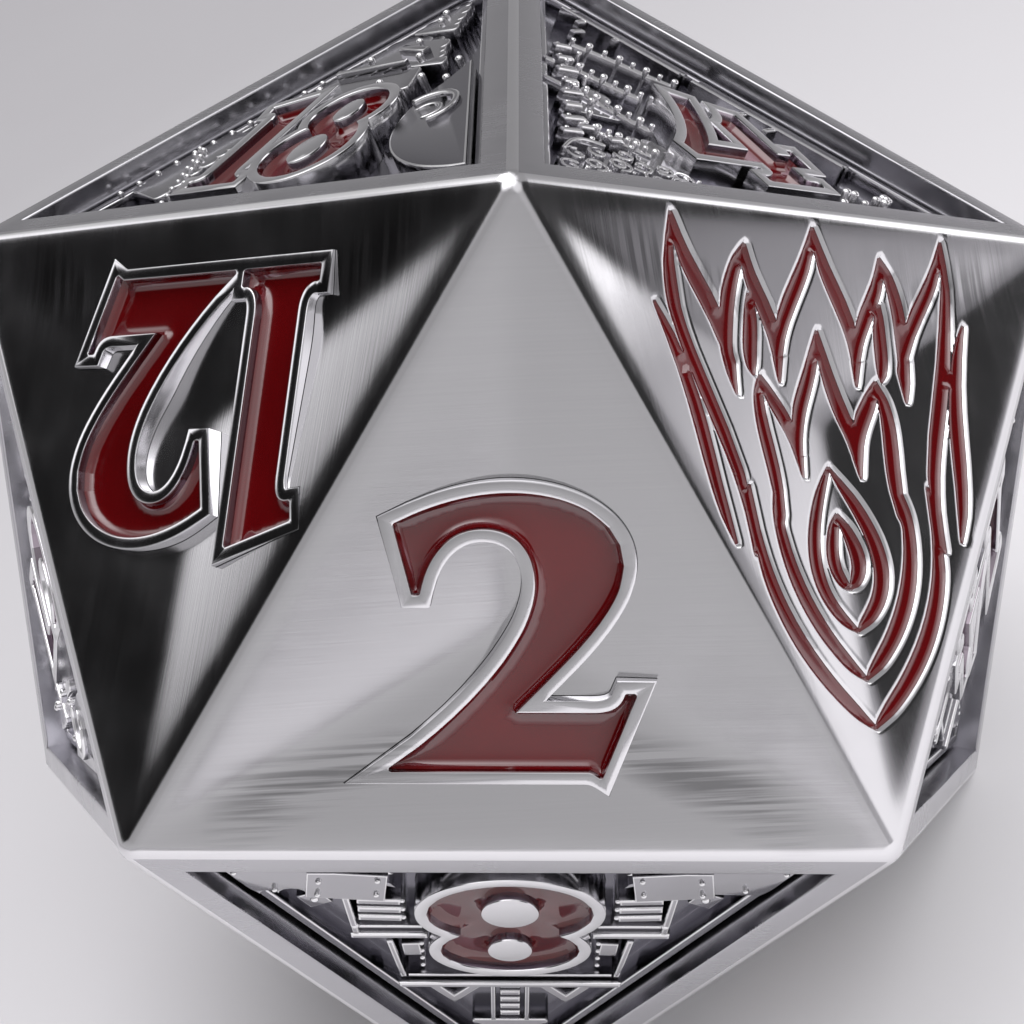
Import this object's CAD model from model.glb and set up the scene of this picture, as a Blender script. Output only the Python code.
"""Looks of the metal twenty-sided die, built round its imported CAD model.

Shapes are worked out in millimetres in the plane of each face, where +Z points out of
the die and +Y points to the face's upper corner as its number is read.
"""

import math
import random

import bmesh
import bpy
import numpy as np
from mathutils import Matrix, Vector
from mathutils.geometry import delaunay_2d_cdt


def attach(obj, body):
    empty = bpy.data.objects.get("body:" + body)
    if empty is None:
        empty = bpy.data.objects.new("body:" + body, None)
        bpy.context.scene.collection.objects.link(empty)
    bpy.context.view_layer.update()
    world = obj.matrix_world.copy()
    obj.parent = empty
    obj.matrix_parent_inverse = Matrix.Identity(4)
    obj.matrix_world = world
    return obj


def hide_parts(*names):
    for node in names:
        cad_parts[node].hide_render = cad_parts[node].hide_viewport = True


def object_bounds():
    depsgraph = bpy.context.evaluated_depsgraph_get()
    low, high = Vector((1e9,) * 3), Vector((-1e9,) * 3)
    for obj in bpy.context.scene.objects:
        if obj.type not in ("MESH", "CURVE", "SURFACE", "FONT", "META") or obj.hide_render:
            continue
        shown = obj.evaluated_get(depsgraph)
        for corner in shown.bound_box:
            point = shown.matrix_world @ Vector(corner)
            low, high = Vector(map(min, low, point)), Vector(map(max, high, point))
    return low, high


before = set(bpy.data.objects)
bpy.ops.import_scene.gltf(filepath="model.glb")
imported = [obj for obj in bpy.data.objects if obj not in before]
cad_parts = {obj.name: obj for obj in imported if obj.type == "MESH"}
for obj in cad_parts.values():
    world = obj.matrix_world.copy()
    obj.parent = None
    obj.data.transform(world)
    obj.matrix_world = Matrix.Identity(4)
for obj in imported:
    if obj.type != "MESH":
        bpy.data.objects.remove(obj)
cad_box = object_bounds()

# ---------------------------------------------------------------- the die's sizes, in mm

MM = 0.001
GOLDEN = (1 + math.sqrt(5)) / 2
HEIGHT = (cad_box[1][2] - cad_box[0][2]) / MM        # between two opposite faces
EDGE = HEIGHT * math.sqrt(3) / GOLDEN ** 2
FACE_R = EDGE / math.sqrt(3)                         # face centre to a corner
FACE_IN = FACE_R / 2                                 # face centre to an edge
DIHEDRAL = 138.19                                    # degrees between two faces
EDGE_BEND = math.radians(180 - DIHEDRAL)             # turn from one face to the next

FILLET_R = 0.30                                      # round along every edge
FILLET_FLAT = 0.35                                   # 0 for a round edge, 1 for a plain flat
FILLET_IN = FILLET_R * math.tan(EDGE_BEND / 2)       # where it starts, in from the edge
CORNER_RISE = 0.018                                  # crown of the small cap on a corner
DISH_SLOPE = math.tan(math.radians(7.5))             # of a polished face's ground
DISH_LAND = 0.3                                      # flat land before the slope starts
DISH_SHOULDER = 0.16                                 # softness where the land turns down
DISH_CREASE = 0.24                                   # softness of the valleys
SOCKET_DEPTH = 0.8                                   # of a number let into a polished face
FRAME_W = 0.62                                       # flat frame round a sunk face
FRAME_DEPTH = 1.0
PLATE_GAP = 0.1                                      # open gap round a relief plate
PLATE_IN = FRAME_W + PLATE_GAP                       # edge of a plate, in from the face's edge
GROUND_Z = -0.75                                     # top of a plate's ground
LEDGE_W = 0.22                                       # raised ledge round a plate
NUMBER_TOP = -0.02
POCKET_DEPTH = 0.6                                   # of the enamel's pocket in a number
ENAMEL_Z = -0.36                                     # surface of the enamel in a number
ENGRAVING_DEPTH = 0.95                               # of the crest's lines
SEAM = 0.012                                         # gap between pieces that fit together

# ---------------------------------------------------------------- where the faces are


def ring(radius, z, first):
    """Three corners of the die at one height."""
    turns = [math.radians(first + 120 * i) for i in range(3)]
    return [np.array([radius * math.cos(a), radius * math.sin(a), z + HEIGHT / 2])
            for a in turns]


WAIST_R = FACE_R * GOLDEN
WAIST_Z = EDGE / (2 * math.sqrt(3) * GOLDEN)
CORNERS = (ring(FACE_R, HEIGHT / 2, -90) + ring(WAIST_R, WAIST_Z, -30)
           + ring(WAIST_R, -WAIST_Z, -90) + ring(FACE_R, -HEIGHT / 2, -30))
CENTRE = np.array([0, 0, HEIGHT / 2])

# Number: its face's corners as its reader sees them: upper, lower left, lower right.
FACES = {
    1: (10, 4, 8), 2: (0, 5, 6), 3: (10, 11, 9), 4: (1, 0, 3), 5: (8, 5, 2),
    6: (4, 2, 1), 7: (4, 8, 2), 8: (11, 6, 5), 9: (9, 7, 10), 10: (8, 11, 5),
    11: (3, 7, 1), 12: (5, 0, 2), 13: (1, 7, 4), 14: (9, 3, 6), 15: (6, 11, 9),
    16: (3, 9, 7), 17: (10, 8, 11), 18: (1, 2, 0), 19: (7, 4, 10), 20: (6, 3, 0)}
POLISHED = (1, 2, 9, 12, 19, 20)
CREST = 20            # the face that has a flame in place of its number
# Direction of the brush lines on each face, in degrees from its +X.
BRUSH = {2: 3.0, 20: 98.0, 12: 90.0, 1: 0.0, 9: 60.0, 19: 0.0}


class Plane:
    """The plane of one face."""

    def __init__(self, number):
        top, left, right = (CORNERS[i] for i in FACES[number])
        self.number = number
        self.origin = (top + left + right) / 3
        self.z = (self.origin - CENTRE) / np.linalg.norm(self.origin - CENTRE)
        self.y = (top - self.origin) / np.linalg.norm(top - self.origin)
        self.x = np.cross(self.y, self.z)
        self.axes = np.array([self.x, self.y, self.z])

    def out(self, points):
        """Face points to die points."""
        return self.origin + np.asarray(points, float) @ self.axes

    def into(self, points):
        """Die points to face points."""
        return (np.asarray(points, float) - self.origin) @ self.axes.T


PLANES = {n: Plane(n) for n in FACES}
# Directions in a face's plane, each square to one edge and pointing inward from it.
INWARD = np.array([[math.cos(math.radians(a)), math.sin(math.radians(a))]
                   for a in (90, -30, 210)])


def edge_distances(p):
    """Distance of face points from the three edges of the face."""
    return FACE_IN + np.asarray(p)[:, :2] @ INWARD.T


def ground(p):
    """Height of a polished face's sloping ground."""
    d = edge_distances(p)
    nearest = -DISH_CREASE * np.log(np.exp(-d / DISH_CREASE).sum(1))

    def ramp(x):
        return (np.sqrt((x - DISH_LAND) ** 2 + DISH_SHOULDER ** 2) + x - DISH_LAND) / 2

    return -DISH_SLOPE * np.maximum(ramp(nearest) - ramp(np.zeros(1)), 0)


FAN_START, FAN_END = 1.5, 5.6         # reach of the brush fans out from the face's middle
FAN_RISE, FAN_FADE = 0.6, 1.2         # lengths over which they come and go
FAN_Y, FAN_FALL = -1.5, 0.33          # height of a fan's middle, and its fall further out
FAN_W, FAN_SPREAD = 0.1, 0.13         # half its width, and how fast that grows
FAN_CORE = 1.3                        # above 1, part of the width is at full strength


def burnished(n, p):
    """How strongly a polished face's coarse brush fans show, in its two lower corners."""
    if n not in POLISHED:
        return np.zeros(len(p))
    reach = np.abs(p[:, 0])
    middle = FAN_Y - FAN_FALL * reach
    width = FAN_W + FAN_SPREAD * reach
    across = np.clip(FAN_CORE - np.abs(p[:, 1] - middle) / width, 0, 1)
    fade = np.clip((FAN_END - reach) / FAN_FADE, 0, 1)
    return across * fade * np.clip((reach - FAN_START) / FAN_RISE, 0, 1)


# ---------------------------------------------------------------- flat outlines


def turn_of(a, b):
    """The angle from one direction to another."""
    return np.arctan2(a[..., 0] * b[..., 1] - a[..., 1] * b[..., 0], (a * b).sum(-1))


CORNER_TURN = math.radians(30)        # an outline that turns by more has a corner there
SMOOTH_TURN = math.radians(4)         # turn in one step of a refined outline
MOST_STEPS = 8
LONG_SIDE = 2.2                       # a side this many times its neighbour is a straight


def smooth_loop(p):
    """Refines the round stretches of a closed outline and keeps its corners and straights."""
    e_out = np.roll(p, -1, 0) - p
    e_in = np.roll(e_out, 1, 0)
    l_out = np.linalg.norm(e_out, axis=1)
    l_in = np.linalg.norm(e_in, axis=1)
    turn = turn_of(e_in, e_out)
    t = e_in / l_in[:, None] ** 2 + e_out / l_out[:, None] ** 2
    long_in = l_in > LONG_SIDE * l_out
    long_out = l_out > LONG_SIDE * l_in
    t[long_in] = e_in[long_in]
    t[long_out] = e_out[long_out]
    t /= np.linalg.norm(t, axis=1)[:, None]
    points = []
    n = len(p)
    for i in range(n):
        j = (i + 1) % n
        chord = e_out[i]
        straight = chord / l_out[i]
        t0 = straight if abs(turn[i]) > CORNER_TURN else t[i]
        t1 = straight if abs(turn[j]) > CORNER_TURN else t[j]
        bend = abs(turn_of(t0, straight)) + abs(turn_of(straight, t1))
        count = int(min(max(math.ceil(bend / SMOOTH_TURN), 1), MOST_STEPS))
        for k in range(count):
            s = k / count
            h00, h10 = 2 * s ** 3 - 3 * s ** 2 + 1, s ** 3 - 2 * s ** 2 + s
            h01, h11 = -2 * s ** 3 + 3 * s ** 2, s ** 3 - s ** 2
            points.append(h00 * p[i] + h10 * l_out[i] * t0
                          + h01 * p[j] + h11 * l_out[i] * t1)
    return np.array(points)


def divided(p, step):
    """Adds points to an outline so that none of its sides is longer than a step."""
    points = []
    for a, b in zip(p, np.roll(p, -1, 0)):
        count = max(int(math.ceil(np.linalg.norm(b - a) / step)), 1)
        points += [a + (b - a) * k / count for k in range(count)]
    return np.array(points)


def offset_loop(p, d):
    """Moves a closed outline to its own left by d."""
    e = np.roll(p, -1, 0) - p
    e = e / np.maximum(np.linalg.norm(e, axis=1), 1e-9)[:, None]
    n_out = np.stack([-e[:, 1], e[:, 0]], 1)
    n_in = np.roll(n_out, 1, 0)
    m = n_out + n_in
    m /= np.maximum(np.linalg.norm(m, axis=1), 1e-6)[:, None]
    return p + m * (d / np.maximum((m * n_out).sum(1), 0.4))[:, None]


def area_of(p):
    """An outline's area, positive where the filled side is on its left."""
    q = np.roll(p, -1, 0)
    return 0.5 * float((p[:, 0] * q[:, 1] - q[:, 0] * p[:, 1]).sum())


def segments(loops):
    """Both ends of every side."""
    a = np.concatenate(loops)
    b = np.concatenate([np.roll(p, -1, 0) for p in loops])
    return a, b


def inside(points, loops):
    """Which points lie in the area that the outlines bound together."""
    a, b = segments(loops)
    out = np.zeros(len(points), bool)
    for s in range(0, len(points), 2000):
        x, y = points[s:s + 2000, 0][:, None], points[s:s + 2000, 1][:, None]
        spans = (a[:, 1] > y) != (b[:, 1] > y)
        with np.errstate(divide="ignore", invalid="ignore"):
            cross_x = a[:, 0] + (y - a[:, 1]) * (b[:, 0] - a[:, 0]) / (b[:, 1] - a[:, 1])
        out[s:s + 2000] = (spans & (x < cross_x)).sum(1) % 2 == 1
    return out


def distance(points, loops):
    """Distance of points from the nearest outline."""
    a, b = segments(loops)
    ab = b - a
    length2 = np.maximum((ab ** 2).sum(1), 1e-12)
    out = np.zeros(len(points))
    for s in range(0, len(points), 1000):
        p = points[s:s + 1000, None, :2]
        t = np.clip(((p - a) * ab).sum(2) / length2, 0, 1)
        out[s:s + 1000] = np.sqrt((((a + t[..., None] * ab) - p) ** 2).sum(2).min(1))
    return out


def rows_along(loops, depths, within, room=0.93):
    """Points at set distances to the left of the outlines, where there is room for them."""
    found = []
    for depth in depths:
        p = np.concatenate([offset_loop(q, depth) for q in loops])
        p = p[inside(p, within)]
        if len(p):
            found.append(p[distance(p, within) > room * depth])
    return np.concatenate(found) if found else np.zeros((0, 2))


def hex_grid(low, high, step):
    """Points spread evenly over a rectangle."""
    rows = []
    for j, y in enumerate(np.arange(low[1], high[1], step * math.sqrt(3) / 2)):
        x = np.arange(low[0] + (j % 2) * step / 2, high[0], step)
        rows.append(np.stack([x, np.full_like(x, y)], 1))
    return np.concatenate(rows)


def lines_along(loops, depth, within, room=0.9):
    """Stretches of line at a distance to the left of the outlines, where there is room."""
    lines = []
    for q in loops:
        p = offset_loop(q, depth)
        good = inside(p, within) & (distance(p, within) > room * depth)
        for i in range(len(p)):
            j = (i + 1) % len(p)
            if good[i] and good[j]:
                lines.append((p[i], p[j]))
    return lines


SNAP = 1e-5           # points this close count as one
SLIVER = 3e-5         # triangles this thin lie along an outline and enclose nothing


def fill(loops, extra=None, lines=()):
    """Triangles that fill the area between outlines, along any lines and through extra points."""
    verts = [Vector(p) for q in loops for p in q]
    edges, start = [], 0
    for q in loops:
        n = len(q)
        edges += [(start + i, start + (i + 1) % n) for i in range(n)]
        start += n
    for p, q in lines:
        edges.append((len(verts), len(verts) + 1))
        verts += [Vector(p), Vector(q)]
    if extra is not None:
        verts += [Vector(p) for p in extra]
    out = delaunay_2d_cdt(verts, edges, [], 0, SNAP)
    points = np.array([tuple(v) for v in out[0]])
    tris = np.array(out[2])
    a, b, c = (points[tris[:, k]] for k in range(3))
    u, v = b - a, c - a
    area = np.abs(u[:, 0] * v[:, 1] - u[:, 1] * v[:, 0])
    longest = np.max([np.hypot(*side.T) for side in (u, v, c - b)], axis=0)
    keep = inside(points[tris].mean(1), loops) & (area > SLIVER * longest)
    return points, tris[keep]


# ---------------------------------------------------------------- outlines from the CAD model


LEVEL = 0.004         # how far from a height a point may be to count as at it
LEAST_AREA = 1e-3


def level_loops(node, plane, level):
    """Outlines of a CAD node's flat area at one height, with the filled area on their left."""
    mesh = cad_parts[node].data
    co = np.array([v.co for v in mesh.vertices]) / MM
    local = plane.into(co)
    flat = np.abs(local[:, 2] - level) < LEVEL
    keys = {}
    spot = [keys.setdefault(tuple(np.round(p[:2], 3)), len(keys)) for p in local]
    points = np.array(sorted(keys, key=keys.get))
    half = set()
    mesh.calc_loop_triangles()
    for t in mesh.loop_triangles:
        a, b, c = t.vertices
        if not (flat[a] and flat[b] and flat[c]):
            continue
        a, b, c = spot[a], spot[b], spot[c]
        if np.cross(points[b] - points[a], points[c] - points[a]) < 0:
            b, c = c, b
        for e in ((a, b), (b, c), (c, a)):
            if (e[1], e[0]) in half:
                half.discard((e[1], e[0]))
            elif e[0] != e[1]:
                half.add(e)
    ahead = {}
    for a, b in sorted(half):
        ahead.setdefault(a, []).append(b)
    loops = []
    while ahead:
        first = min(ahead)
        here, loop = first, []
        while here in ahead:
            loop.append(here)
            options = ahead[here]
            step = options.pop(0)
            if not options:
                del ahead[here]
            here = step
            if here == first:
                break
        loops.append(points[loop])
    return [tidy_loop(p) for p in loops if len(p) > 2 and abs(area_of(p)) > LEAST_AREA]


STRAIGHT = math.radians(0.4)          # a smaller turn than this is no turn


def tidy_loop(p, least=0.012):
    """Drops points that crowd their neighbour or lie on a straight line."""
    keep = [p[0]]
    for q in p[1:]:
        if np.linalg.norm(q - keep[-1]) > least:
            keep.append(q)
    p = np.array(keep)
    e_out = np.roll(p, -1, 0) - p
    e_in = np.roll(e_out, 1, 0)
    bent = np.abs(turn_of(e_in, e_out)) > STRAIGHT
    return p[bent]


# ---------------------------------------------------------------- mesh making


WELD = 4e-4           # points of a piece that are closer than this are joined, in mm
SHADING_WEIGHT = 60


class Shell:
    """Collects the surfaces of one piece, in face or die coordinates, and makes its mesh."""

    def __init__(self):
        self.points, self.polygons, self.planes, self.mats = [], [], [], []

    def add(self, points, polygons, plane=None, mat=0, face=0):
        """Adds polygons. Without a plane the points are in die coordinates."""
        start = sum(len(p) for p in self.points)
        p = np.asarray(points, float)
        self.points.append(plane.out(p) if plane else p)
        for poly in polygons:
            self.polygons.append([start + int(i) for i in poly])
            self.planes.append(plane.number if plane else face)
            self.mats.append(mat)

    def cap(self, loops, z, plane, extra=None, up=True, mat=0, lines=()):
        """A surface between outlines. z is a height or a function of the points."""
        points, tris = fill(loops, extra, lines)
        heights = z(points) if callable(z) else np.full(len(points), z)
        self.add(np.column_stack([points, heights]), tris if up else tris[:, ::-1], plane, mat)

    def strip(self, rows, plane, mat=0):
        """Quads between closed rows of points that have the same count."""
        n = len(rows[0])
        polygons = []
        for r in range(len(rows) - 1):
            for i in range(n):
                j = (i + 1) % n
                polygons.append([r * n + i, r * n + j, (r + 1) * n + j, (r + 1) * n + i])
        self.add(np.concatenate(rows), polygons, plane, mat)

    def object(self, name, materials, smooth_angle=32.0, replaces=()):
        """Joins the surfaces into one mesh. Each corner keeps its place and height on its face."""
        points = np.concatenate(self.points)
        keys, index = {}, np.zeros(len(points), int)
        for i, k in enumerate(map(tuple, np.round(points / WELD).astype(np.int64))):
            index[i] = keys.setdefault(k, len(keys))
        first = np.full(len(keys), -1)
        for i in range(len(points) - 1, -1, -1):
            first[index[i]] = i
        polygons, kept = [], []
        for k, poly in enumerate(self.polygons):
            q = []
            for i in poly:
                v = index[i]
                if v not in q:
                    q.append(int(v))
            if len(q) > 2:
                polygons.append(q)
                kept.append(k)
        mesh = bpy.data.meshes.new(name)
        mesh.from_pydata((points[first] * MM).tolist(), [], polygons)
        for m in materials:
            mesh.materials.append(m)
        mesh.polygons.foreach_set("material_index", [self.mats[k] for k in kept])
        mesh.polygons.foreach_set("use_smooth", [True] * len(polygons))
        mesh.uv_layers.new(name="face_mm")
        mesh.attributes.new("face_height", "FLOAT", "CORNER")
        mesh.attributes.new("burnish", "FLOAT", "CORNER")
        flat_uv = np.zeros((len(mesh.loops), 2), np.float32)
        flat_h, worn = np.zeros((2, len(mesh.loops)), np.float32)
        loop_vertex = np.concatenate(polygons)
        loop_face = np.repeat([self.planes[k] for k in kept], [len(q) for q in polygons])
        for n in set(self.planes):
            chosen = np.nonzero(loop_face == n)[0]
            p = points[first][loop_vertex[chosen]]
            if n:
                local = PLANES[n].into(p)
                a = math.radians(BRUSH.get(n, 0.0))
                x, y = local[:, 0], local[:, 1]
                flat_uv[chosen] = np.column_stack([x * math.cos(a) + y * math.sin(a),
                                                   -x * math.sin(a) + y * math.cos(a)])
                flat_h[chosen] = local[:, 2]
                worn[chosen] = burnished(n, local)
            else:
                flat_uv[chosen] = p[:, :2]
        mesh.attributes["face_mm"].data.foreach_set("vector", flat_uv.ravel())
        mesh.attributes["burnish"].data.foreach_set("value", worn)
        mesh.attributes["face_height"].data.foreach_set("value", flat_h)
        joined = bmesh.new()
        joined.from_mesh(mesh)
        bmesh.ops.remove_doubles(joined, verts=joined.verts, dist=WELD * MM * 2)
        joined.to_mesh(mesh)
        joined.free()
        mesh.update()
        mark_sharp(mesh, smooth_angle)
        obj = bpy.data.objects.new(name, mesh)
        bpy.context.scene.collection.objects.link(obj)
        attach(obj, "root")
        if replaces:
            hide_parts(*replaces)
        return obj


def mark_sharp(mesh, angle):
    """Marks edges that turn by more than an angle, so that shading breaks there."""
    normals = np.zeros(len(mesh.polygons) * 3, np.float32)
    mesh.polygons.foreach_get("normal", normals)
    normals = normals.reshape(-1, 3)
    loop_edge = np.zeros(len(mesh.loops), np.int32)
    mesh.loops.foreach_get("edge_index", loop_edge)
    totals = np.zeros(len(mesh.polygons), np.int32)
    mesh.polygons.foreach_get("loop_total", totals)
    loop_poly = np.repeat(np.arange(len(mesh.polygons)), totals)
    order = np.argsort(loop_edge, kind="stable")
    e, f = loop_edge[order], loop_poly[order]
    sharp = np.zeros(len(mesh.edges), bool)
    pair = np.nonzero(e[1:] == e[:-1])[0]
    cosine = (normals[f[pair]] * normals[f[pair + 1]]).sum(1)
    sharp[e[pair[cosine < math.cos(math.radians(angle))]]] = True
    mesh.edges.foreach_set("use_edge_sharp", sharp)


def weighted(obj):
    """Lets the large flat areas keep their own normal beside small bevels."""
    m = obj.modifiers.new("flat_shading", "WEIGHTED_NORMAL")
    m.keep_sharp = True
    m.weight = SHADING_WEIGHT
    return obj


def bevel_rows(loop, z, width, steps=2):
    """Rows from the wall below a rounded edge up to the flat area on the outline's left."""
    rows = []
    for k in range(steps + 1):
        a = math.pi / 2 * k / steps
        inset = width * (1 - math.cos(a))
        rows.append(np.column_stack([offset_loop(loop, inset),
                                     np.full(len(loop), z - width + width * math.sin(a))]))
    return rows


def raised_flat(shell, loops, bottom, top, bevel, plane, mat=0):
    """A flat-topped block with a rounded, bright upper edge."""
    caps = []
    for loop in loops:
        rows = bevel_rows(loop, top, bevel)
        foot = rows[0].copy()
        foot[:, 2] = bottom
        shell.strip([foot, rows[0]], plane, mat)
        shell.strip(rows, plane, mat=1)
        caps.append(rows[-1][:, :2])
    shell.cap(caps, top, plane, mat=mat)
    shell.cap(loops, bottom, plane, up=False, mat=mat)


# ---------------------------------------------------------------- materials


class Nodes:
    """A small helper for writing node trees."""

    def __init__(self, tree):
        self.tree = tree

    def set(self, node, inputs):
        """Gives a node's inputs their values, or links them to other nodes' outputs."""
        for key, value in inputs.items():
            if isinstance(value, bpy.types.NodeSocket):
                self.tree.links.new(value, node.inputs[key])
            else:
                node.inputs[key].default_value = value

    def make(self, kind, output, inputs=None, **settings):
        """Adds a node and returns one of its outputs."""
        n = self.tree.nodes.new(kind)
        for key, value in settings.items():
            setattr(n, key, value)
        self.set(n, inputs or {})
        return n.outputs[output]

    def math(self, operation, a, b=0.0, clamp=False):
        return self.make("ShaderNodeMath", 0, {0: a, 1: b}, operation=operation, use_clamp=clamp)

    def vector(self, operation, output, inputs):
        return self.make("ShaderNodeVectorMath", output, inputs, operation=operation)

    def noise(self, vector, scale, detail=3.0, roughness=0.5):
        return self.make("ShaderNodeTexNoise", "Fac", {
            "Vector": vector, "Scale": scale, "Detail": detail, "Roughness": roughness})

    def stretched(self, uv, across, along, detail, roughness):
        """Noise drawn out along U."""
        scale = (across, along, 1.0)
        vector = self.make("ShaderNodeMapping", 0, {"Vector": uv, "Scale": scale})
        return self.noise(vector, 1.0, detail, roughness)

    def ramp(self, value, stops):
        colour = self.make("ShaderNodeValToRGB", "Color", {"Fac": value})
        elements = colour.node.color_ramp.elements
        while len(elements) < len(stops):
            elements.new(0.5)
        for element, (position, tone) in zip(elements, stops):
            element.position = position
            element.color = (*tone, 1.0)
        return colour

    def range(self, value, low, high, to_low, to_high, **settings):
        return self.make("ShaderNodeMapRange", "Result", {
            "Value": value, "From Min": low, "From Max": high, "To Min": to_low,
            "To Max": to_high}, **settings)

    def bump(self, height, strength, distance):
        return self.make("ShaderNodeBump", "Normal", {
            "Height": height, "Strength": strength, "Distance": distance})


def new_material(name):
    """A material, its node tree and its shader."""
    m = bpy.data.materials.new(name)
    m.use_nodes = True
    shader = m.node_tree.nodes["Principled BSDF"]
    return m, Nodes(m.node_tree), shader


def brushed_material(name, base, rough_low, rough_high, streak, bump):
    """Plated metal with fine brush lines along the face's own U, and the coarse fans."""
    m, t, shader = new_material(name)
    uv = t.make("ShaderNodeUVMap", 0, uv_map="face_mm")
    fine = t.stretched(uv, 0.35, 26.0, 6.0, 0.6)
    broad = t.stretched(uv, 0.16, 3.2, 4.0, 0.55)
    smudge = t.stretched(uv, 0.5, 0.5, 3.0, 0.5)
    coarse = t.stretched(uv, 0.22, 7.0, 3.0, 0.5)
    lines = t.math("ADD", t.math("MULTIPLY", fine, 0.6), t.math("MULTIPLY", broad, 0.4))
    tone = t.ramp(lines, [(0.30, [c * (1 - streak) for c in base]), (0.62, base)])
    fan = t.make("ShaderNodeAttribute", "Fac", attribute_name="burnish")
    share = t.math("MULTIPLY", fan, t.range(coarse, 0.42, 0.58, 0.0, 0.9))
    dark = (*[c * 0.45 for c in base], 1.0)
    # The colour inputs and output of a mix node share their names with others.
    colour = t.make("ShaderNodeMix", 2, {0: share, 6: tone, 7: dark}, data_type="RGBA")
    rough = t.math("ADD", t.range(lines, 0.3, 0.7, rough_low, rough_high),
                   t.range(smudge, 0.35, 0.7, -0.03, 0.05))
    t.set(shader, {"Metallic": 1.0, "Base Color": colour, "Roughness": rough,
                   "Normal": t.bump(lines, bump, 0.00002)})
    return m


def cast_material(name, low, high, rough, grain):
    """Smooth metal that is dark in the recesses and brighter on the high spots."""
    m, t, shader = new_material(name)
    height = t.make("ShaderNodeAttribute", "Fac", attribute_name="face_height")
    position = t.make("ShaderNodeTexCoord", "Object")
    blotch = t.noise(position, 900.0, 5.0, 0.6)
    pit = t.noise(position, 5200.0, 3.0, 0.6)
    level = t.range(height, -0.75, -0.45, 0.0, 1.0)
    mixed = t.math("ADD", level, t.range(blotch, 0.3, 0.7, -0.05, 0.05), clamp=True)
    halfway = [(a + b) / 2 for a, b in zip(low, high)]
    t.set(shader, {"Metallic": 1.0,
                   "Base Color": t.ramp(mixed, [(0.0, low), (0.36, halfway), (1.0, high)]),
                   "Roughness": t.range(blotch, 0.3, 0.7, rough - 0.05, rough + 0.08),
                   "Normal": t.bump(pit, grain, 0.00001)})
    return m


def enamel_material(name):
    """Glossy deep red with a faint cloudiness."""
    m, t, shader = new_material(name)
    position = t.make("ShaderNodeTexCoord", "Object")
    cloud = t.noise(position, 420.0, 4.0, 0.55)
    wave = t.noise(position, 700.0, 2.0, 0.4)
    tone = t.ramp(cloud, [(0.3, (0.062, 0.0004, 0.001)), (0.7, (0.088, 0.0009, 0.0018))])
    t.set(shader, {"Base Color": tone, "Roughness": 0.09, "IOR": 1.9, "Coat Weight": 0.3,
                   "Coat Roughness": 0.03, "Normal": t.bump(wave, 0.12, 0.00003)})
    return m


BODY_MAT = brushed_material("body_brushed_metal", (0.80, 0.795, 0.81), 0.10, 0.16, 0.03, 0.05)
FRAME_MAT = brushed_material("frame_satin_metal", (0.52, 0.515, 0.535), 0.22, 0.28, 0.04, 0.05)
POCKET_MAT = cast_material("pocket_dark_metal", (0.26, 0.255, 0.275), (0.45, 0.445, 0.47),
                           0.2, 0.01)
RIM_MAT = brushed_material("number_silver", (0.78, 0.775, 0.79), 0.09, 0.14, 0.04, 0.04)
RIM_IN_MAT = brushed_material("number_pocket_metal", (0.36, 0.31, 0.35), 0.10, 0.16, 0.06, 0.05)
RELIEF_MAT = cast_material("relief_metal", (0.21, 0.205, 0.235), (0.46, 0.455, 0.475),
                           0.12, 0.02)
GROUND_MAT = cast_material("relief_smooth_metal", (0.24, 0.235, 0.26), (0.26, 0.255, 0.28),
                           0.14, 0.01)
EDGE_MAT = cast_material("relief_bright_edges", (0.7, 0.695, 0.71), (0.88, 0.875, 0.885),
                         0.14, 0.02)
ENAMEL_MAT = enamel_material("red_enamel")

# ---------------------------------------------------------------- numbers and enamel


def outer_and_inner(loops):
    """Splits outlines into those that nothing encloses and the rest."""
    outer, inner = [], []
    for i, p in enumerate(loops):
        others = [q for j, q in enumerate(loops) if j != i]
        enclosed = any(inside(p[:1], [q])[0] and abs(area_of(q)) > abs(area_of(p))
                       for q in others)
        (inner if enclosed else outer).append(p)
    return outer, inner


RIM_BEVEL = 0.042


def make_number(n):
    """One number's metal rim with the pocket for its enamel. Returns its outer outlines."""
    plane = PLANES[n]
    foot = -SOCKET_DEPTH if n in POLISHED else -FRAME_DEPTH
    loops = [smooth_loop(p) for p in level_loops("number_%d" % n, plane, NUMBER_TOP)]
    outer, inner = outer_and_inner(loops)
    shell = Shell()
    caps = []
    for loop in loops:
        is_outer = any(loop is q for q in outer)
        rows = bevel_rows(loop, NUMBER_TOP, RIM_BEVEL)
        base = rows[0].copy()
        base[:, 2] = foot if is_outer else -POCKET_DEPTH
        shell.strip([base, rows[0]], plane, mat=0 if is_outer else 1)
        shell.strip(rows, plane)
        caps.append(rows[-1][:, :2])
    shell.cap(caps, NUMBER_TOP, plane)
    if inner:
        shell.cap([p[::-1] for p in inner], -POCKET_DEPTH, plane, mat=1)
    shell.cap(outer, foot, plane, up=False)
    obj = shell.object("rim_%d" % n, [RIM_MAT, RIM_IN_MAT],
                       replaces=["number_%d" % n])
    weighted(obj)
    return outer


MENISCUS, MENISCUS_REACH = 0.15, 0.075         # how high and how far it creeps at a wall
CREST_MENISCUS, CREST_REACH = 0.07, 0.05
CREST_FILL = 0.14                              # below the sloping ground of the crest
ENAMEL_STEP = 0.08                             # spacing of points along an outline
ENAMEL_GRID = 0.1
ENAMEL_MARGIN = 0.17                           # where the rows along a wall take over
WALL_ROWS = (0.025, 0.055, 0.095, 0.15)


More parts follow.
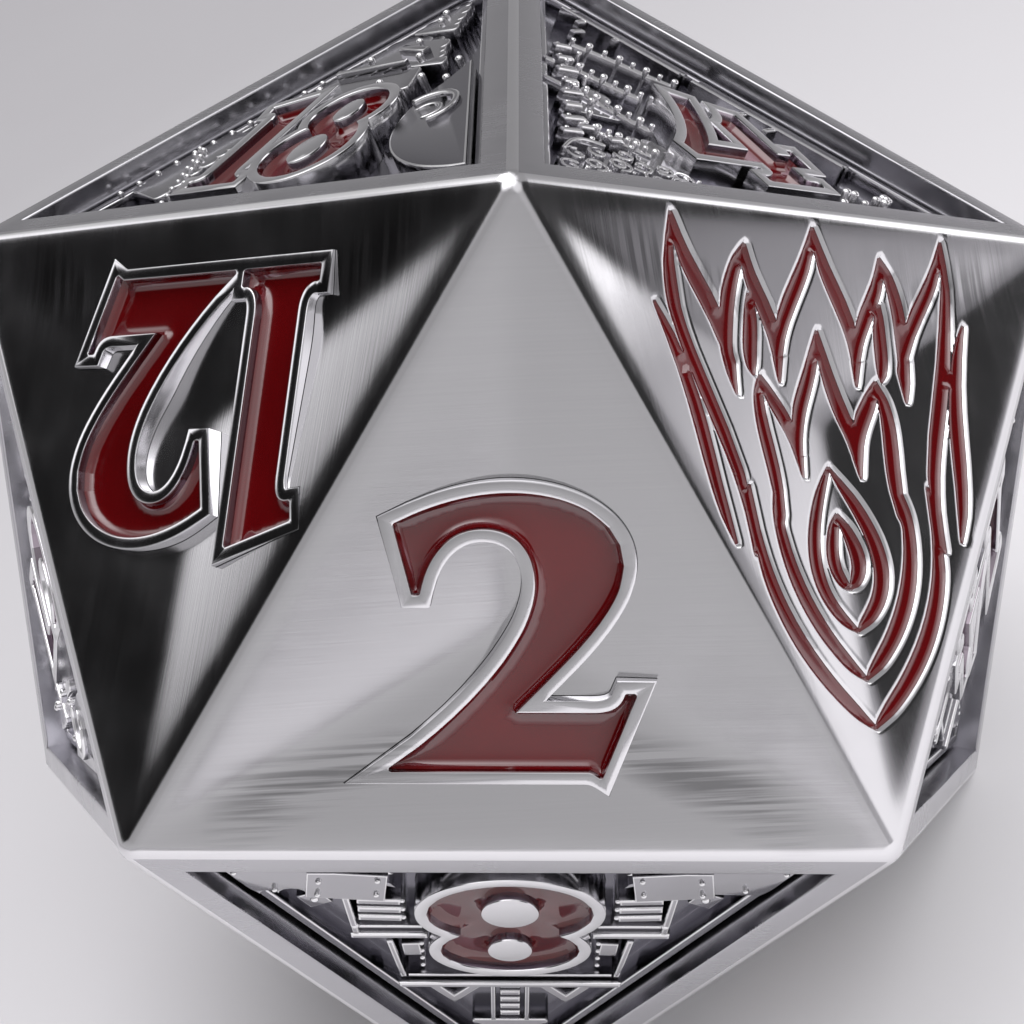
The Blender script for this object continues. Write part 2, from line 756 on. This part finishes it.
def make_enamel(n):
    """The enamel of one face, creeping up its walls. Returns its outlines."""
    plane = PLANES[n]
    bottom = -ENGRAVING_DEPTH if n == CREST else -POCKET_DEPTH
    loops = [divided(smooth_loop(p), ENAMEL_STEP)
             for p in level_loops("enamel_%d" % n, plane, bottom)]
    low = np.min([p.min(0) for p in loops], 0)
    high = np.max([p.max(0) for p in loops], 0)
    grid = hex_grid(low, high, ENAMEL_GRID)
    grid = grid[inside(grid, loops)]
    grid = grid[distance(grid, loops) > ENAMEL_MARGIN]
    extra = np.concatenate([grid, rows_along(loops, WALL_ROWS, loops)])
    reach, rise = (CREST_REACH, CREST_MENISCUS) if n == CREST else (MENISCUS_REACH, MENISCUS)

    def surface(p):
        creep = rise * np.exp(-distance(p, loops) / reach)
        level = ground(p) - CREST_FILL if n == CREST else ENAMEL_Z
        return level + creep

    shell = Shell()
    shell.cap(loops, surface, plane, extra)
    for loop in loops:
        top = np.column_stack([loop, surface(loop)])
        foot = top.copy()
        foot[:, 2] = bottom
        shell.strip([foot, top], plane)
    shell.cap(loops, bottom, plane, up=False)
    shell.object("enamel_fill_%d" % n, [ENAMEL_MAT], smooth_angle=50,
                 replaces=["enamel_%d" % n])
    return loops


# ---------------------------------------------------------------- body

SIDE_STEPS = 96                       # points along each side of a face
FILLET_STEPS = 5
BODY_GRID = 0.13                      # spacing of points on the sloping ground
BODY_STEP = 0.07                      # and along the edge of an opening in it
BORDER_MARGIN = 0.06
LIP_W, LIP_DROP = 0.09, 0.055         # rounded lip of an engraved line
LIP_ROWS = (0.025, 0.055, 0.09, 0.125)
FRAME_BEVEL = 0.05


def side_points(number):
    """Points along a face's flat area, just inside its fillets, in die coordinates."""
    p = PLANES[number]
    k = 1 - FILLET_IN / FACE_IN
    corners = [p.origin + k * (CORNERS[i] - p.origin) for i in FACES[number]]
    sides = {}
    names = FACES[number]
    t = np.linspace(0, 1, SIDE_STEPS + 1)[:, None]
    for a, b in ((0, 1), (1, 2), (2, 0)):
        sides[(names[a], names[b])] = corners[a] + t * (corners[b] - corners[a])
    return sides


def panel_loop(number):
    """The outline of a face's flat area, in its own plane."""
    sides = side_points(number)
    names = FACES[number]
    rows = [sides[(names[a], names[b])][:-1] for a, b in ((0, 1), (1, 2), (2, 0))]
    return PLANES[number].into(np.concatenate(rows))[:, :2]


def triangle(inset, steps):
    """The face's triangle moved in from its edges, with each side cut into steps."""
    r = 2 * (FACE_IN - inset)
    corners = [np.array([r * math.cos(math.radians(a)), r * math.sin(math.radians(a))])
               for a in (90, 210, 330)]
    points = []
    for i in range(3):
        a, b = corners[i], corners[(i + 1) % 3]
        points += [a + (b - a) * k / steps for k in range(steps)]
    return np.array(points)


def polished_panel(shell, n, outline):
    """The sloping ground with the number's socket or the crest's engraving."""
    plane = PLANES[n]
    crest = n == CREST
    holes = [(p if crest else offset_loop(p, -SEAM))[::-1] for p in outline]
    holes = [divided(p, BODY_STEP) for p in holes]
    grid = hex_grid((-EDGE / 2, -FACE_IN), (EDGE / 2, FACE_R), BODY_GRID)
    grid = grid[edge_distances(grid).min(1) > FILLET_IN + BORDER_MARGIN]
    area = [panel_loop(n)] + holes
    grid = grid[inside(grid, area)]
    grid = grid[distance(grid, holes) > BODY_GRID]
    depths = LIP_ROWS if crest else ()
    lines = [line for depth in depths for line in lines_along(holes, depth, area)]

    def surface(p):
        height = ground(p)
        if crest:
            height = height - LIP_DROP * np.clip(1 - distance(p, holes) / LIP_W, 0, 1) ** 2
        return np.where(edge_distances(p).min(1) < FILLET_IN + SLIVER, 0.0, height)

    shell.cap(area, surface, plane, grid, lines=lines)
    depth = -ENGRAVING_DEPTH if crest else -SOCKET_DEPTH
    for loop in holes:
        top = np.column_stack([loop, surface(loop)])
        foot = top.copy()
        foot[:, 2] = depth
        shell.strip([foot, top], plane, mat=2)
    shell.cap([p[::-1] for p in holes], depth, plane, mat=2)


def framed_panel(shell, n):
    """The flat frame, its rounded inner edge, and the pocket."""
    plane = PLANES[n]
    inner = triangle(FRAME_W, 12)[::-1]
    rows = bevel_rows(inner, 0.0, FRAME_BEVEL, 3)
    shell.cap([panel_loop(n), rows[-1][:, :2]], 0.0, plane, mat=1)
    shell.strip(rows, plane, mat=1)
    foot = rows[0].copy()
    foot[:, 2] = -FRAME_DEPTH
    shell.strip([foot, rows[0]], plane, mat=2)
    shell.cap([inner[::-1]], -FRAME_DEPTH, plane, mat=2)


def fillets(shell):
    """Rounds every edge between two faces and closes every corner."""
    sides = {n: side_points(n) for n in FACES}
    by_edge = {}
    for n in FACES:
        for (a, b), row in sides[n].items():
            by_edge.setdefault(frozenset((a, b)), []).append((n, a, row))
    caps = {i: [] for i in range(len(CORNERS))}
    for edge, ((n1, a1, row1), (n2, a2, row2)) in by_edge.items():
        if a1 != a2:
            row2 = row2[::-1]
        z1, z2 = PLANES[n1].z, PLANES[n2].z
        axis = row1 - FILLET_R * z1
        rows = []
        for k in range(FILLET_STEPS + 1):
            s = k / FILLET_STEPS
            w1 = math.sin((1 - s) * EDGE_BEND) / math.sin(EDGE_BEND)
            w2 = math.sin(s * EDGE_BEND) / math.sin(EDGE_BEND)
            round_row = axis + FILLET_R * (w1 * z1 + w2 * z2)
            flat_row = (1 - s) * row1 + s * row2
            rows.append(round_row + FILLET_FLAT * (flat_row - round_row))
        rows[0], rows[-1] = row1, row2
        polygons = []
        count = len(row1)
        for r in range(FILLET_STEPS):
            for i in range(count - 1):
                k = r * count + i
                polygons.append([k, k + count, k + count + 1, k + 1])
        grid = np.concatenate(rows)
        a, b, c = grid[polygons[0][:3]]
        if np.dot(np.cross(b - a, c - a), z1 + z2) < 0:
            polygons = [q[::-1] for q in polygons]
        half = FILLET_STEPS // 2 * (count - 1)
        for n, chosen in ((n1, polygons[:half]), (n2, polygons[half:])):
            shell.add(grid, chosen, face=n)
        ends = {a1: [r[0] for r in rows], next(iter(edge - {a1})): [r[-1] for r in rows]}
        for corner, arc in ends.items():
            caps[corner].append((n1, n2, arc))
    for corner, arcs in caps.items():
        outward = (CORNERS[corner] - CENTRE) / np.linalg.norm(CORNERS[corner] - CENTRE)
        _, here, arc = arcs[0]
        points = list(arc[:-1])
        left = arcs[1:]
        while left:
            for k, (n1, n2, arc) in enumerate(left):
                if here in (n1, n2):
                    points += list(arc[:-1] if n1 == here else arc[::-1][:-1])
                    here = n2 if n1 == here else n1
                    left.pop(k)
                    break
        points = np.array(points)
        top = points.mean(0) + outward * CORNER_RISE
        count = len(points)
        fan = [[i, (i + 1) % count, count] for i in range(count)]
        if np.dot(np.cross(points[1] - points[0], top - points[0]), outward) < 0:
            fan = [q[::-1] for q in fan]
        shell.add(np.vstack([points, top]), fan)


def make_body(outlines):
    shell = Shell()
    for n in FACES:
        if n in POLISHED:
            polished_panel(shell, n, outlines[n])
        else:
            framed_panel(shell, n)
    fillets(shell)
    obj = shell.object("body_casting", [BODY_MAT, FRAME_MAT, POCKET_MAT],
                       smooth_angle=30, replaces=["die_body"])
    weighted(obj)


# ---------------------------------------------------------------- relief plates

ROOT = 0.02                           # how far a raised shape goes into what it stands on
INNER_IN = PLATE_IN + LEDGE_W + 0.03  # where the raised work inside the ledge starts
PLATE_STEPS = 8
LEDGE_H, LEDGE_BEVEL, LEDGE_BACK = 0.25, 0.04, 0.005
LOBE_STEPS = 6
LOBE_BULGE = 0.75                     # of a half round
DOME_RINGS, DOME_SIDES, DOME_RISE = 4, 12, 0.8


def rectangle(x, y, w, h, turn=0.0):
    """A rectangle's outline round its centre."""
    a = math.radians(turn)
    c = np.array([[-w, -h], [w, -h], [w, h], [-w, h]]) / 2
    turned = np.array([[math.cos(a), math.sin(a)], [-math.sin(a), math.cos(a)]])
    return np.array([x, y]) + c @ turned


def arc(x, y, r, start, end, steps):
    a = np.radians(np.linspace(start, end, steps))
    return np.column_stack([x + r * np.cos(a), y + r * np.sin(a)])


def arc_band(x, y, r, width, start, end):
    """Outline of a flat curved band."""
    return np.concatenate([arc(x, y, r + width / 2, start, end, 28),
                           arc(x, y, r - width / 2, end, start, 28)])


def scalloped(corners, sides, lobe, rng):
    """A polygon in which the named sides are rows of lobes about so wide, bulging outward."""
    points = []
    for i, a in enumerate(corners):
        a = np.array(a, float)
        b = np.array(corners[(i + 1) % len(corners)], float)
        if i not in sides:
            points.append(a)
            continue
        length = np.linalg.norm(b - a)
        count = max(int(round(length / lobe)), 1)
        cuts = np.cumsum([0.7 + 0.6 * rng.random() for _ in range(count)])
        cuts = np.concatenate([[0], cuts / cuts[-1]])
        along = (b - a) / length
        side = np.array([along[1], -along[0]])
        for k in range(count):
            s, e = cuts[k] * length, cuts[k + 1] * length
            r = (e - s) / 2
            for m in range(LOBE_STEPS):
                t = math.pi * m / LOBE_STEPS
                points.append(a + along * ((s + e) / 2 - r * math.cos(t))
                              + side * r * LOBE_BULGE * math.sin(t))
    return np.array(points)


def dome(shell, plane, x, y, z, r):
    """A bright rivet head."""
    count = DOME_SIDES
    rings = [(r, GROUND_Z - ROOT)]
    for k in range(DOME_RINGS):
        a = math.pi / 2 * k / DOME_RINGS
        rings.append((r * math.cos(a), z + r * DOME_RISE * math.sin(a)))
    turns = [2 * math.pi * i / count for i in range(count)]
    points = [[x + w * math.cos(a), y + w * math.sin(a), h] for w, h in rings for a in turns]
    points.append([x, y, z + r * DOME_RISE])
    polygons = []
    for k in range(DOME_RINGS):
        for i in range(count):
            j = (i + 1) % count
            polygons.append([k * count + i, k * count + j, (k + 1) * count + j,
                             (k + 1) * count + i])
    last = DOME_RINGS * count
    polygons += [[last + i, last + (i + 1) % count, last + count] for i in range(count)]
    polygons.append(list(range(count))[::-1])
    shell.add(points, polygons, plane, 1)


class Relief:
    """The raised work of one plate. Left and right swap if mirrored."""

    lift = 0.0

    def __init__(self, shell, plane, outline, flip, seed):
        self.shell, self.plane, self.outline = shell, plane, outline
        self.side = -1 if flip else 1
        self.rng = random.Random(seed)

    def block(self, loop, height, bevel=0.03, mat=0, ledge=True):
        """A raised shape. It stops short of the plate's ledge unless that is turned off."""
        p = np.asarray(loop, float).copy()
        p[:, 0] *= self.side
        if area_of(p) < 0:
            p = p[::-1]
        if ledge and edge_distances(p).min() < INNER_IN:
            p = self.keep_on_plate(p)
            if p is None:
                return
        bevel = min(bevel, 0.45 * height)
        raised_flat(self.shell, [p], GROUND_Z - ROOT, GROUND_Z + height + self.lift, bevel,
                    self.plane, mat)

    def bar(self, x, y, w, h, turn, height, bevel=0.03):
        self.block(rectangle(x, y, w, h, turn), height, bevel)

    def lobed(self, corners, sides, lobe, height):
        self.block(scalloped(corners, sides, lobe, self.rng), height)

    def keep_on_plate(self, p):
        """Cuts an outline back to the plate's inner area."""
        for inward in INWARD:
            d = FACE_IN + p @ inward - INNER_IN
            kept = []
            for i in range(len(p)):
                j = (i + 1) % len(p)
                if d[i] >= 0:
                    kept.append(p[i])
                if (d[i] >= 0) != (d[j] >= 0):
                    kept.append(p[i] + (p[j] - p[i]) * d[i] / (d[i] - d[j]))
            if len(kept) < 3:
                return None
            p = np.array(kept)
        p = tidy_loop(p, 0.02)
        return p if len(p) > 2 else None

    def bead(self, x, y, height, r):
        """A rivet head, left out where the ledge or the number is."""
        p = np.array([[x * self.side, y]])
        if edge_distances(p).min() < PLATE_IN + LEDGE_W + r or inside(p, self.outline)[0]:
            return
        dome(self.shell, self.plane, p[0, 0], y, GROUND_Z + height + self.lift - 0.01, r)

    def wire(self, path, height, r):
        """A round-topped line of constant width, broken where the ledge or the number is."""
        p = np.asarray(path, float)
        flipped = p * np.array([self.side, 1])
        keep = edge_distances(flipped).min(1) > PLATE_IN + 0.05 + r
        keep &= ~inside(flipped, self.outline)
        keep &= distance(flipped, self.outline) > r + 0.03
        runs = [[]]
        for q, k in zip(p, keep):
            if k:
                runs[-1].append(q)
            else:
                runs.append([])
        for run in runs:
            if len(run) < 4:
                continue
            run = np.array(run)
            along = np.gradient(run, axis=0)
            along /= np.linalg.norm(along, axis=1)[:, None]
            side = np.column_stack([-along[:, 1], along[:, 0]]) * r
            band = np.concatenate([run - side, run[-1:] + along[-1] * r, (run + side)[::-1],
                                   run[:1] - along[0] * r])
            self.block(band, height, r * 0.8, ledge=False)

    def curl(self, x, y, r, start, turns, height, wire):
        """A spiral scroll."""
        t = np.linspace(0, 1, int(20 * turns) + 6)
        a = np.radians(start) + 2 * math.pi * turns * t
        rr = r * (1 - 0.75 * t)
        self.wire(np.column_stack([x + rr * np.cos(a), y + rr * np.sin(a)]), height, wire)


# The themes give places in the face's plane, then sizes, then the height above the ground.


def hall(relief):
    """Mouldings, posts, windows and scalloped plates, as on the 8."""
    relief.lift = 0.1
    for s in (-1, 1):
        relief.lobed([(s * 5.75, -3.3), (s * 2.1, -3.3), (s * 2.2, -2.45), (s * 3.3, -2.15),
                      (s * 4.7, -2.1)][::s], {1, 2, 3}, 0.42, 0.40)
        relief.bar(s * 3.05, -2.55, 1.5, 1.0, -6 * s, 0.48)
        for x, y in ((5.1, -3.0), (3.6, -2.3), (3.55, -2.8), (2.5, -2.3), (2.45, -2.85),
                     (4.4, -2.35)):
            relief.bead(s * x, y, 0.44 if x > 3.8 else 0.52, 0.06)
        relief.bar(s * 2.35, -0.38, 1.5, 0.17, 0, 0.42, 0.05)
        relief.bar(s * 2.35, -0.62, 1.3, 0.1, 0, 0.34)
        relief.bar(s * 3.05, -1.2, 0.14, 1.5, 5 * s, 0.4, 0.04)
        relief.bead(s * 3.0, -0.75, 0.36, 0.09)
        for i in range(3):
            relief.bar(s * 2.5, -0.98 - 0.34 * i, 0.85, 0.2, -3 * s, 0.34, 0.05)
            relief.bead(s * 2.05, -0.98 - 0.34 * i, 0.3, 0.06)
        relief.bar(s * 2.25, 0.75, 0.13, 1.6, 8 * s, 0.36, 0.04)
        relief.bar(s * 1.95, 0.55, 0.36, 0.5, 4 * s, 0.24)
        relief.bar(s * 3.75, -1.35, 0.5, 0.5, 30 * s, 0.12)
        relief.bead(s * 3.75, -1.35, 0.1, 0.1)
        relief.block([(s * 0.55, 2.05), (s * 1.15, 2.9), (s * 1.7, 2.05), (s * 1.45, 2.05),
                      (s * 1.15, 2.55), (s * 0.8, 2.05)], 0.3)
        relief.bead(s * 1.15, 2.15, 0.1, 0.09)
        for i in range(4):
            relief.bead(s * 1.75, 1.3 - 0.32 * i, 0.2, 0.06)
    relief.bar(0, 1.78, 4.5, 0.2, 0, 0.44, 0.06)
    relief.bar(0, 1.52, 4.1, 0.1, 0, 0.34)
    for i in range(5):
        relief.bar(0, 2.15 + 0.33 * i, 0.42, 0.18, 0, 0.28, 0.04)
    for x in (-0.35, 0.35):
        relief.bar(x, 2.85, 0.1, 1.8, 0, 0.3)
    relief.lobed([(-0.75, 3.9), (0.75, 3.9), (0, 5.4)], {1, 2}, 0.3, 0.22)
    for i in range(3):
        relief.bead(0, 4.2 + 0.35 * i, 0.2, 0.06)


def orbit(relief):
    """Curved rims, strings of beads and a smooth open ground, as on the 18."""
    rng = relief.rng
    relief.lift = 0.2
    relief.block(np.concatenate([arc(5.0, -0.1, 2.85, 160, 268, 30), [(8.0, -2.55), (2.0, 4.4)],
                                 arc(2.9, 2.2, 0.5, 100, 210, 8)]), 0.34, 0.05, mat=2)
    relief.block(arc_band(2.75, -0.35, 0.62, 0.16, -60, 150), 0.44, 0.05)
    relief.block(arc_band(2.7, -0.35, 0.3, 0.12, -80, 170), 0.36, 0.04)
    for i in range(14):
        relief.bead(2.5 + 0.088 * i, 3.4 - 0.216 * i, 0.4 + 0.03 * (i % 2), 0.07)
    relief.wire(np.linspace((-5.3, -3.05), (-1.7, 2.725), 30), 0.06, 0.08)
    for i in range(16):
        relief.bead(-5.3 + 0.24 * i, -3.05 + 0.385 * i, 0.14, 0.075)
    for i in range(9):
        relief.bead(-2.4 - 0.11 * i + 0.12 * rng.random(), -2.85 + 0.3 * i, 0.22, 0.07)
        relief.bead(-2.7 - 0.1 * i + 0.12 * rng.random(), -2.7 + 0.3 * i, 0.2, 0.06)
    relief.lobed([(-4.2, -1.9), (-3.2, -2.4), (-2.3, 0.2), (-3.0, 0.4)], {1, 3}, 0.4, 0.16)
    relief.lobed([(-1.9, 1.3), (1.2, 1.25), (1.0, 2.0), (-1.5, 2.1)], {0, 2}, 0.45, 0.24)
    relief.lobed([(-1.4, 2.5), (1.3, 2.3), (0.6, 3.6), (-0.7, 3.9)], {1, 3, 2}, 0.4, 0.18)
    relief.bar(-0.4, 2.25, 1.8, 0.14, 4, 0.38, 0.04)
    relief.bar(0.25, 3.0, 0.9, 0.2, -20, 0.34, 0.04)
    relief.lobed([(-0.5, 4.1), (0.6, 4.0), (0.15, 5.5)], {1, 2}, 0.3, 0.2)
    for x, y in ((0.55, 2.7), (-0.9, 2.9), (0.05, 3.5), (-1.5, 1.7), (1.3, 1.6), (0.2, 1.6),
                 (2.1, 1.35), (1.9, 2.2), (0, 4.5), (-0.1, 4.9)):
        relief.bead(x, y, 0.26, 0.09)


def scroll(relief):
    """Curled lines along the foot, dashes and strings of drops, as on the 4."""
    rng = relief.rng
    relief.lift = 0.22
    for y, first, last in ((-3.0, -5.1, -1.3), (-2.5, -4.6, -1.9), (-2.05, -4.2, -3.0)):
        x = first
        while x < last:
            relief.curl(x, y + 0.1 * rng.random(), 0.22 + 0.05 * rng.random(),
                        360 * rng.random(), 1.0 + 0.5 * rng.random(),
                        0.14 + 0.14 * rng.random(), 0.04)
            relief.bead(x + 0.27, y - 0.12, 0.1 + 0.1 * rng.random(), 0.05)
            x += 0.5 + 0.08 * rng.random()
    relief.lobed([(-5.0, -2.9), (-3.0, -2.9), (-3.1, -1.7), (-3.8, -1.5)], {1, 2, 3}, 0.3, 0.04)
    relief.wire(np.column_stack([np.linspace(-4.6, -3.5, 20),
                                 -2.1 + 0.45 * np.sin(np.linspace(0, 2.4, 20))]), 0.3, 0.05)
    for x, y, w in ((-3.85, -1.2, 0.5), (-3.45, -0.62, 0.55), (-3.1, 0.0, 0.4),
                    (-3.35, -0.95, 0.3), (-2.75, 0.6, 0.5), (-2.45, 1.15, 0.35),
                    (-2.2, 1.7, 0.5), (-1.9, 2.3, 0.4), (-2.9, -1.35, 0.3), (-1.6, 2.9, 0.4)):
        relief.bar(x, y, w, 0.16, -4 + 8 * rng.random(), 0.26, 0.06)
        relief.bead(x + w / 2 + 0.12, y - 0.2, 0.2, 0.06)
        relief.bead(x + 0.05, y + 0.24, 0.16, 0.055)
    for (x0, y0), (x1, y1), count in (
            ((-3.3, 2.0), (-1.3, -0.4), 13), ((-3.2, -0.7), (-2.0, -1.6), 8),
            ((-2.4, 2.6), (-0.6, 1.1), 9), ((-1.0, 3.4), (0.9, 2.0), 8)):
        for k in range(count):
            f = k / (count - 1)
            relief.bead(x0 + (x1 - x0) * f + 0.06 * math.sin(5 * f), y0 + (y1 - y0) * f, 0.2,
                        0.06 + 0.025 * (k % 2))
        path = np.linspace((x0, y0), (x1, y1), 24)
        path[:, 0] += 0.06 * np.sin(np.linspace(0, 5, 24))
        relief.wire(path, 0.12, 0.075)
    relief.lobed([(-2.5, -2.3), (-1.6, -2.3), (-1.5, -0.9), (-2.2, -0.8)], {1, 2, 3}, 0.35, 0.04)
    relief.lobed([(-3.0, 0.2), (-1.9, 0.0), (-1.6, 1.2), (-2.3, 1.3)], {1, 2}, 0.4, 0.03)
    slant = math.radians(30)
    for inset, height, width in ((1.25, 0.12, 0.22), (1.65, 0.22, 0.12)):
        for low, high in ((-2.6, 1.2), (1.5, 4.6)):
            middle, out = (low + high) / 2, FACE_IN - inset
            x = out * math.cos(slant) - middle * math.sin(slant)
            y = out * math.sin(slant) + middle * math.cos(slant)
            relief.bar(x, y, width, high - low, 30, height, 0.04)
    for i in range(22):
        relief.bead(1.45 + 2.6 * rng.random(), -3.1 + 0.9 * rng.random(),
                    0.08 + 0.16 * rng.random(), 0.06 + 0.05 * rng.random())
    for x, y in ((0.55, 3.9), (-0.5, 4.0), (0.0, 4.6), (0.0, 5.1), (1.9, 0.9), (2.3, 0.3)):
        relief.bar(x, y, 0.4, 0.14, 20, 0.2, 0.05)


# The theme of each plate, and whether it is mirrored.
THEMES = {8: (hall, False), 18: (orbit, False), 4: (scroll, False), 5: (orbit, True),
          14: (hall, False), 15: (scroll, True), 10: (hall, False), 3: (scroll, False),
          6: (orbit, False), 7: (scroll, True), 11: (orbit, True), 13: (hall, False),
          16: (scroll, False), 17: (orbit, False)}
FIRST_SEED = 100      # each plate's random draws start from this plus its number


def make_plate(n, outline):
    """A relief plate with its number's opening, its ledge and its raised work."""
    plane = PLANES[n]
    shell = Shell()
    edges = [triangle(PLATE_IN, PLATE_STEPS)] + [offset_loop(p, -SEAM)[::-1] for p in outline]
    shell.cap(edges, GROUND_Z, plane)
    shell.cap(edges, -FRAME_DEPTH, plane, up=False)
    for loop in edges:
        low = np.column_stack([loop, np.full(len(loop), -FRAME_DEPTH)])
        high = np.column_stack([loop, np.full(len(loop), GROUND_Z)])
        shell.strip([low, high], plane)
    ledge = [triangle(PLATE_IN + LEDGE_BACK, PLATE_STEPS),
             triangle(PLATE_IN + LEDGE_W, PLATE_STEPS)[::-1]]
    raised_flat(shell, ledge, GROUND_Z - ROOT, GROUND_Z + LEDGE_H, LEDGE_BEVEL, plane)
    theme, flip = THEMES[n]
    theme(Relief(shell, plane, outline, flip, FIRST_SEED + n))
    obj = shell.object("plate_%d" % n, [RELIEF_MAT, EDGE_MAT, GROUND_MAT],
                       smooth_angle=35, replaces=["relief_plate_%d" % n])
    weighted(obj)


# ---------------------------------------------------------------- the die

outlines = {n: make_number(n) for n in FACES if n != CREST}
pools = {n: make_enamel(n) for n in FACES}
outlines[CREST] = pools[CREST]
make_body(outlines)
for n in THEMES:
    make_plate(n, outlines[n])

# ---------------------------------------------------------------- studio


FLOOR_REACH = 1.2                 # half its width, in metres
FLOOR_TONES = [(0.0, (0.72, 0.71, 0.725)), (0.6, (0.43, 0.422, 0.436)),
               (1.0, (0.20, 0.195, 0.205))]
AWAY, DUSK = 20, 58               # azimuths of its two darker parts


def make_floor():
    """A pale floor that darkens away from the camera, further out, and to one side."""
    s = FLOOR_REACH
    mesh = bpy.data.meshes.new("floor")
    mesh.from_pydata([(-s, -s, 0), (s, -s, 0), (s, s, 0), (-s, s, 0)], [], [(0, 1, 2, 3)])
    floor = bpy.data.objects.new("floor", mesh)
    bpy.context.scene.collection.objects.link(floor)
    m, t, shader = new_material("floor_pale")
    position = t.make("ShaderNodeTexCoord", "Object")
    mottle = t.range(t.noise(position, 60.0), 0.3, 0.7, -0.01, 0.01)
    away = t.vector("DOT_PRODUCT", "Value", {0: position, 1: -toward(AWAY, 0)})
    side = t.vector("NORMALIZE", 0, {0: position})
    far = t.vector("LENGTH", "Value", {0: position})
    dusk = t.math("MULTIPLY", lobe(t, side, toward(DUSK, 0), 14, 32),
                  t.range(far, 0.07, 0.12, 0.0, 0.85))
    shade = t.math("ADD", t.range(away, -0.03, 0.08, 0.0, 1.0), mottle)
    shade = t.math("MAXIMUM", shade, t.range(far, 0.075, 0.15, 0.0, 1.0))
    shade = t.math("ADD", t.math("MULTIPLY", shade, 0.6), dusk, clamp=True)
    t.set(shader, {"Base Color": t.ramp(shade, FLOOR_TONES), "Roughness": 0.7})
    mesh.materials.append(m)


def toward(azimuth, elevation):
    """A direction, with azimuth measured from the camera's side of the die to its right."""
    a, e = math.radians(CAMERA_AZIMUTH + azimuth), math.radians(elevation)
    return Vector((math.cos(a) * math.cos(e), math.sin(a) * math.cos(e), math.sin(e)))


# The camera's direction from the die's centre, and how it is turned.
CAMERA_AZIMUTH = -107.43
CAMERA_ELEVATION = 29.48
CAMERA_DISTANCE = 3.3643          # in edges
CAMERA_RISE = 0.0216              # how far above the centre it looks, in edges
CAMERA_ROLL = 23.96
CAMERA_VIEW = 27.62               # width of its view in degrees
SENSOR = 36

# The room that the metal mirrors: soft lights, and dark screens that take a share of the
# light away. Azimuth, elevation, inner and outer half angle, strength.
LIGHTS = [(0, 90, 14, 46, 1.5), (-132, 34, 9, 19, 1.1), (104, 2, 8, 18, 1.3),
          (35, 45, 8, 30, 0.5), (180, 66, 6, 26, 1.2)]
DARKS = [(-92, 44, 20, 30, 0.97), (70, 10, 16, 26, 0.93), (180, 20, 30, 60, 0.25)]
HORIZON, ZENITH = 0.52, 0.36      # brightness of the room without them

# Lamps: azimuth, elevation, distance and width in metres, power. The fill lamp is broad
# and lightens the floor; the other two add the crisp lines on the edges.
LAMPS = {"key": (0, 78, 0.16, 0.09, 0.02), "rim": (-165, 50, 0.16, 0.07, 0.006),
         "fill": (30, 38, 0.26, 0.26, 0.65)}
UNMIRRORED = "fill"               # this lamp is not seen in the metal


def lobe(t, direction, axis, inner, outer):
    """1 within an angle of an axis, 0 beyond a wider one."""
    nearness = t.vector("DOT_PRODUCT", "Value", {0: direction, 1: axis})
    return t.range(nearness, math.cos(math.radians(outer)), math.cos(math.radians(inner)),
                   0.0, 1.0, interpolation_type="SMOOTHSTEP")


def make_world():
    world = bpy.data.worlds.new("studio")
    bpy.context.scene.world = world
    world.use_nodes = True
    t = Nodes(world.node_tree)
    direction = t.make("ShaderNodeTexCoord", "Generated")
    height = t.make("ShaderNodeSeparateXYZ", "Z", {0: direction})
    light = t.range(height, 0.0, 0.5, HORIZON, ZENITH)
    for azimuth, elevation, inner, outer, strength in LIGHTS:
        glow = lobe(t, direction, toward(azimuth, elevation), inner, outer)
        light = t.math("ADD", light, t.math("MULTIPLY", glow, strength))
    for azimuth, elevation, inner, outer, strength in DARKS:
        shade = lobe(t, direction, toward(azimuth, elevation), inner, outer)
        kept = t.math("SUBTRACT", 1.0, t.math("MULTIPLY", shade, strength))
        light = t.math("MULTIPLY", light, kept)
    t.set(world.node_tree.nodes["Background"],
          {"Color": (1.0, 0.985, 1.012, 1.0), "Strength": light})


def rolled(direction):
    """How the camera is turned to look in a direction."""
    roll = Matrix.Rotation(-math.radians(CAMERA_ROLL), 3, "Z")
    return direction.to_track_quat("-Z", "Y").to_matrix() @ roll


def make_camera():
    data = bpy.data.cameras.new("camera")
    camera = bpy.data.objects.new("camera", data)
    bpy.context.scene.collection.objects.link(camera)
    data.sensor_width = SENSOR
    data.lens = SENSOR / 2 / math.tan(math.radians(CAMERA_VIEW) / 2)
    centre = Vector(CENTRE * MM)
    back = toward(0, CAMERA_ELEVATION)
    camera.location = centre + back * CAMERA_DISTANCE * EDGE * MM
    aim = centre + rolled(-back) @ Vector((0, 1, 0)) * CAMERA_RISE * EDGE * MM
    camera.rotation_euler = rolled((aim - camera.location).normalized()).to_euler()
    data.clip_start, data.clip_end = 0.001, 10
    bpy.context.scene.camera = camera


def make_lamps():
    for name, (azimuth, elevation, reach, size, power) in LAMPS.items():
        data = bpy.data.lights.new(name, "AREA")
        data.shape = "SQUARE"
        data.size = size
        data.energy = power
        lamp = bpy.data.objects.new(name, data)
        bpy.context.scene.collection.objects.link(lamp)
        centre = Vector(CENTRE * MM)
        lamp.location = centre + toward(azimuth, elevation) * reach
        lamp.rotation_euler = (centre - lamp.location).to_track_quat("-Z", "Y").to_euler()
        lamp.visible_glossy = name != UNMIRRORED


make_floor()
make_world()
make_camera()
make_lamps()
bpy.context.scene.view_settings.view_transform = "Standard"
